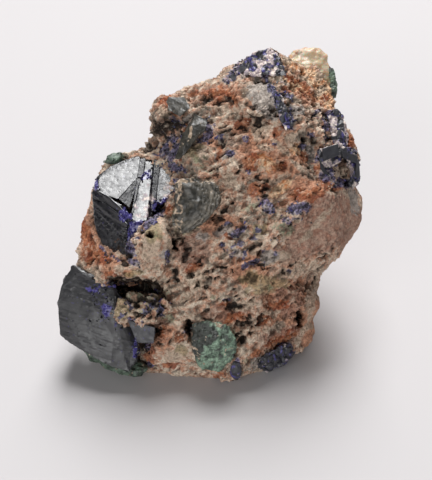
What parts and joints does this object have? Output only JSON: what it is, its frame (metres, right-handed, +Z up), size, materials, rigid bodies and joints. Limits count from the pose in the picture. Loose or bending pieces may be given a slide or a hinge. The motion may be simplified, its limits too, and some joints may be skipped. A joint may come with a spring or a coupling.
{
  "type": "azurite and calcite mineral specimen",
  "caption": "Free-standing mineral specimen: dark azurite crystals, green malachite and pale calcite grown on a rough iron-stained matrix with a flat underside.",
  "frame": {"origin": "centre of the bounding box in plan, on the flat underside", "axes": "+Z up from the flat underside, +Y to the back, -Y the display face with the large crystals, +X to the right of the display face"},
  "size_m": [0.06, 0.0521, 0.0555],
  "materials": {
    "matrix": "matte",
    "azurite": "gloss",
    "calcite": "satin",
    "malachite": "satin"
  },
  "bodies": {
    "root": {"matrix": "matrix", "azurite_crown": "azurite", "azurite_prow": "azurite", "azurite_blade": "azurite", "azurite_vein": "azurite", "azurite_knot": "azurite", "azurite_toe": "azurite", "azurite_crest": "azurite", "azurite_tooth": "azurite", "calcite_wedge": "calcite", "calcite_blade": "calcite", "calcite_knob": "calcite", "calcite_lens": "calcite", "malachite_nodule": "malachite", "malachite_foot": "malachite", "malachite_button": "malachite", "malachite_rind": "malachite"}
  },
  "joints": []
}
